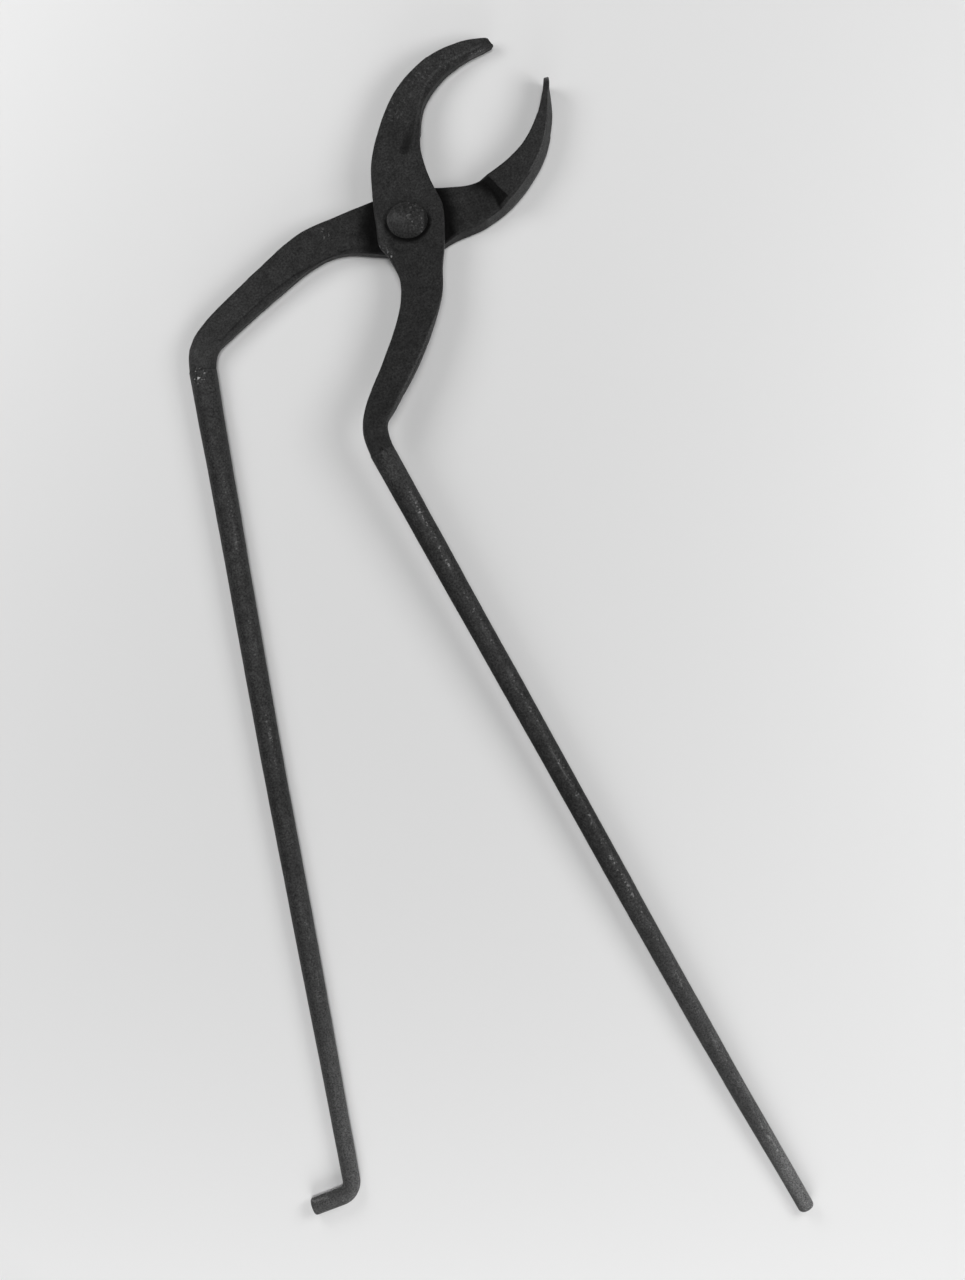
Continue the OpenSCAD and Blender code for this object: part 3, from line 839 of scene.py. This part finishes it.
def build_rivet():
    """A squat hammered head over a slightly undercut rim, and the flat peened tail."""
    foot = UPPER_TOP - 0.6
    rim = UPPER_TOP + 1.3
    planes = []
    for deg, slope, drop in FACETS:
        a = math.radians(deg)
        planes.append((math.cos(a) * slope, math.sin(a) * slope, drop))

    def crown(x, y, f):
        dome = HEAD_TOP - 0.1 - 2.3 * f ** 2.4
        flat = min(HEAD_TOP - 0.1 - drop - (x * px + y * py) for px, py, drop in planes)
        return min(dome, flat + 0.35)

    rings = []
    around = [2 * math.pi * k / HEAD_SIDES for k in range(HEAD_SIDES)]
    # where the head sits tight on the bar, its rim is not undercut
    tight = [max(0.0, math.cos(a - TIGHT_BEARING)) ** 0.5 for a in around]
    for f, rise in ((0.90, 0.0), (0.91, 0.35), (0.95, 0.65), (0.985, 0.85), (1.0, 1.0)):
        reach = [f + (1 - f) * w for w in tight]
        rings.append([(head_outline(a) * g * math.cos(a), head_outline(a) * g * math.sin(a),
                       foot + (rim - foot) * rise) for a, g in zip(around, reach)])
    for k in range(1, HEAD_ROWS):
        f = math.cos(0.5 * math.pi * k / HEAD_ROWS)
        ring = []
        for a in around:
            x, y = head_outline(a) * f * math.cos(a), head_outline(a) * f * math.sin(a)
            top = crown(x, y, f)
            ring.append((x, y, rim + (top - rim) * min(1.0, (1 - f ** 6) * 1.15)))
        rings.append(ring)
    verts, faces = loft([np.array(r) for r in rings])
    n = normals_of(verts, faces)
    verts = verts + n * (0.10 * fbm(verts, 4.0, 2, 51.0) + 0.04 * fbm(verts, 1.2, 2, 55.0))[:, None]
    verts[:, :2] += HEAD_AT
    count = len(verts)
    # shank and tail below, one turned loop after another
    around = [2 * math.pi * k / SHANK_SIDES for k in range(SHANK_SIDES)]
    below = [np.array([(r * math.cos(a), r * math.sin(a), z) for a in around]) for r, z in SHANK]
    shank_verts, shank_faces = loft(below)
    faces = faces + [tuple(i + count for i in f) for f in shank_faces]
    verts = np.concatenate([verts, shank_verts])
    plan = verts[:, :2] - HEAD_AT
    r = np.linalg.norm(plan, axis=1)
    top = verts[:, 2] > rim
    spots = smooth(0.05, 0.4, fbm(verts, 1.3, 2, 61.0))
    ray, _ = along(*RAY, plan)
    flecks = np.max([near(np.hypot(plan[:, 0] - x, plan[:, 1] - y), 0, 0.8)
                     for x, y in HEAD_FLECKS], axis=0)
    # the bright ray is partly worn bare and partly painted highlight
    wear_and_sheen = top * (0.22 * spots * (1 - smooth(0.3, 1.1, ray)) + 0.4 * flecks + 0.02 * spots)
    # a band of painted highlight
    band, _ = along(*HIGHLIGHT_BAND, plan)
    wear_and_sheen += 0.09 * top * (1 - smooth(0.5, 4.0, band))
    # painted light: the head grows paler towards +Y
    wear_and_sheen += 0.04 * top * smooth(0.0, 8.0, 0.96 * plan[:, 1] - 0.27 * plan[:, 0])
    chips = top * (0.10 * (plan[:, 0] > 1) * (r > 4.5) + 0.2 * (ray < 1.2))
    # painted shade: the head darkens towards -Y, and the shank and tail are painted dark
    low = smooth(1.0, 9.0, 0.95 * -plan[:, 1] - 0.3 * plan[:, 0])
    masks = {"soot_and_shade": np.where(top, 0.22 * low, 0.7), "wear_and_sheen": wear_and_sheen, "flecks": chips}
    obj = mesh_object("rivet_hammered", verts, faces, HALF_OPENING, masks, HEAD)
    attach(obj, "upper_arm")
    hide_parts("rivet")


build_upper_half()
build_lower_half()
build_rein("upper_rein_drawn", "upper_rein", UPPER_WELD, UPPER_FALL, UPPER_LENGTH - 2.2,
           [(0, 6.3), (80, 5.9), (160, 5.57), (260, 5.2), (320, 4.9), (374, 4.5), (412, 4.15),
            (437, 4.1)],
           [(0, 0.0), (80, 0.4), (175, 0.6), (230, 1.0), (300, 1.25), (355, 1.1), (385, 0.7),
            (412, 0.1), (437, -0.1)],
           [(27, 66, 1.0), (84, 104, 0.8), (129, 157, 0.7), (172, 212, 0.9), (221, 275, 1.0),
            (298, 315, 0.6), (340, 360, 0.5), (385, 405, 0.9)], False, HALF_OPENING, "upper_arm", 2.2)
build_rein("lower_rein_drawn", "lower_rein", LOWER_WELD, LOWER_FALL, LOWER_LENGTH - 1.1,
           [(0, 6.95), (25, 6.65), (50, 6.32), (100, 5.95), (150, 5.75), (200, 5.6), (250, 5.42),
            (300, 5.25), (350, 4.85), (375, 4.65), (416, 4.45)],
           [(0, 0.25), (50, 0.3), (100, 0.55), (160, 0.9), (205, 1.0), (255, 0.55), (310, 0.2),
            (365, -0.1), (416, -0.25)],
           [(56, 88, 0.5), (128, 140, 0.4), (177, 196, 0.7), (232, 238, 0.3), (272, 284, 0.4),
            (310, 322, 0.5)],
           True, -HALF_OPENING, "lower_arm", 1.5)
build_rivet()

# ---------------------------------------------------------------- floor, light and camera
# The camera looks straight down; its picture's up direction lies 19.8 degrees from +Y.
ROLL = math.radians(19.83)
CENTRE = (-0.0356, -0.2074)
CAMERA_HEIGHT = 1.0
SENSOR_MM, LENS_MM = 24.0, 36.9375
UP = Vector((math.sin(ROLL), math.cos(ROLL), 0))
RIGHT = Vector((math.cos(ROLL), -math.sin(ROLL), 0))
# The paper's painted light and shade: coefficients of rising powers of the distance across and up the
# picture, in metres from its centre, and the darkest and palest it may be
PAPER_ACROSS = (0.0, -0.056, 1.223)
PAPER_UP = (0.666, -0.131, 1.232, 0.231)
PAPER_DARKEST, PAPER_PALEST = 0.55, 0.9


def painted_paper_light(mat, shader):
    """Painted light and shade on the sheet: a little greyer under the tongs than towards its edges.
    """
    nt = mat.node_tree
    coord = nt.nodes.new("ShaderNodeTexCoord")

    def run(direction):
        dot = nt.nodes.new("ShaderNodeVectorMath")
        dot.operation = "DOT_PRODUCT"
        dot.inputs[1].default_value = direction
        nt.links.new(coord.outputs["Object"], dot.inputs[0])
        shift = nt.nodes.new("ShaderNodeMath")
        shift.operation = "SUBTRACT"
        shift.inputs[1].default_value = direction.x * CENTRE[0] + direction.y * CENTRE[1]
        nt.links.new(dot.outputs["Value"], shift.inputs[0])
        return shift.outputs[0]

    def poly(value, terms):
        """Sum of the terms' coefficients times rising powers of the value."""
        total = None
        for c in reversed(terms):
            step = nt.nodes.new("ShaderNodeMath")
            step.operation = "MULTIPLY_ADD"
            if total is None:
                step.inputs[0].default_value = 0.0
            else:
                nt.links.new(total, step.inputs[0])
            nt.links.new(value, step.inputs[1])
            step.inputs[2].default_value = c
            total = step.outputs[0]
        return total

    add = nt.nodes.new("ShaderNodeMath")
    nt.links.new(poly(run(RIGHT), PAPER_ACROSS), add.inputs[0])
    nt.links.new(poly(run(UP), PAPER_UP), add.inputs[1])
    limit = nt.nodes.new("ShaderNodeMath")
    limit.operation = "MINIMUM"
    limit.inputs[1].default_value = PAPER_PALEST
    nt.links.new(add.outputs[0], limit.inputs[0])
    held = nt.nodes.new("ShaderNodeMath")
    held.operation = "MAXIMUM"
    held.inputs[1].default_value = PAPER_DARKEST
    nt.links.new(limit.outputs[0], held.inputs[0])
    colour = nt.nodes.new("ShaderNodeCombineColor")
    for k in range(3):
        nt.links.new(held.outputs[0], colour.inputs[k])
    nt.links.new(colour.outputs["Color"], shader.inputs["Base Color"])


paper = bpy.data.materials.new("paper")
paper.use_nodes = True
shader = paper.node_tree.nodes["Principled BSDF"]
shader.inputs["Roughness"].default_value = 0.9
shader.inputs["Specular IOR Level"].default_value = 0.1
painted_paper_light(paper, shader)
floor_mesh = bpy.data.meshes.new("floor")
floor_mesh.from_pydata([(-4, -4, 0), (4, -4, 0), (4, 4, 0), (-4, 4, 0)], [], [(0, 1, 2, 3)])
floor_mesh.materials.append(paper)
floor = bpy.data.objects.new("floor", floor_mesh)
bpy.context.scene.collection.objects.link(floor)

camera = bpy.data.objects.new("camera", bpy.data.cameras.new("camera"))
bpy.context.scene.collection.objects.link(camera)
camera.data.sensor_fit = "VERTICAL"
camera.data.sensor_height = SENSOR_MM
camera.data.lens = LENS_MM
camera.data.clip_start = 0.01
camera.data.clip_end = 20
facing = Matrix((RIGHT, UP, Vector((0, 0, 1)))).transposed().to_4x4()
camera.matrix_world = Matrix.Translation((CENTRE[0], CENTRE[1], CAMERA_HEIGHT)) @ facing
bpy.context.scene.camera = camera


def lamp(name, right, up, height, size_x, size_y, power):
    """A soft rectangular lamp placed in the picture's own directions, aimed at the tongs."""
    data = bpy.data.lights.new(name, "AREA")
    data.shape = "RECTANGLE"
    data.size, data.size_y = size_x, size_y
    data.energy = power
    obj = bpy.data.objects.new(name, data)
    bpy.context.scene.collection.objects.link(obj)
    place = Vector((CENTRE[0], CENTRE[1], 0)) + RIGHT * right + UP * up + Vector((0, 0, height))
    aim = Vector((CENTRE[0], CENTRE[1], 0))
    facing = (place - aim).to_track_quat("Z", "Y").to_matrix().to_4x4()
    obj.matrix_world = Matrix.Translation(place) @ facing


def sun(name, height, strength, angle):
    """A soft sun straight above the tongs. It lights all of the floor evenly."""
    data = bpy.data.lights.new(name, "SUN")
    data.energy = strength
    data.angle = angle
    obj = bpy.data.objects.new(name, data)
    bpy.context.scene.collection.objects.link(obj)
    obj.matrix_world = Matrix.Translation((CENTRE[0], CENTRE[1], height))


lamp("lamp_left", -0.42, 0.36, 0.52, 0.36, 0.36, 1.60)
lamp("lamp_right", 0.40, 0.08, 0.52, 0.36, 0.36, 1.85)
sun("lamp_over", 1.4, 0.36 * math.pi, math.radians(12.2))
lamp("lamp_low", 0.0, -0.80, 0.40, 0.5, 0.4, 2.0)
world = bpy.data.worlds.new("studio")
world.use_nodes = True
background = world.node_tree.nodes["Background"]
background.inputs["Color"].default_value = (1, 1, 1, 1)
background.inputs["Strength"].default_value = 0.08
bpy.context.scene.world = world
bpy.context.scene.view_settings.view_transform = "Standard"
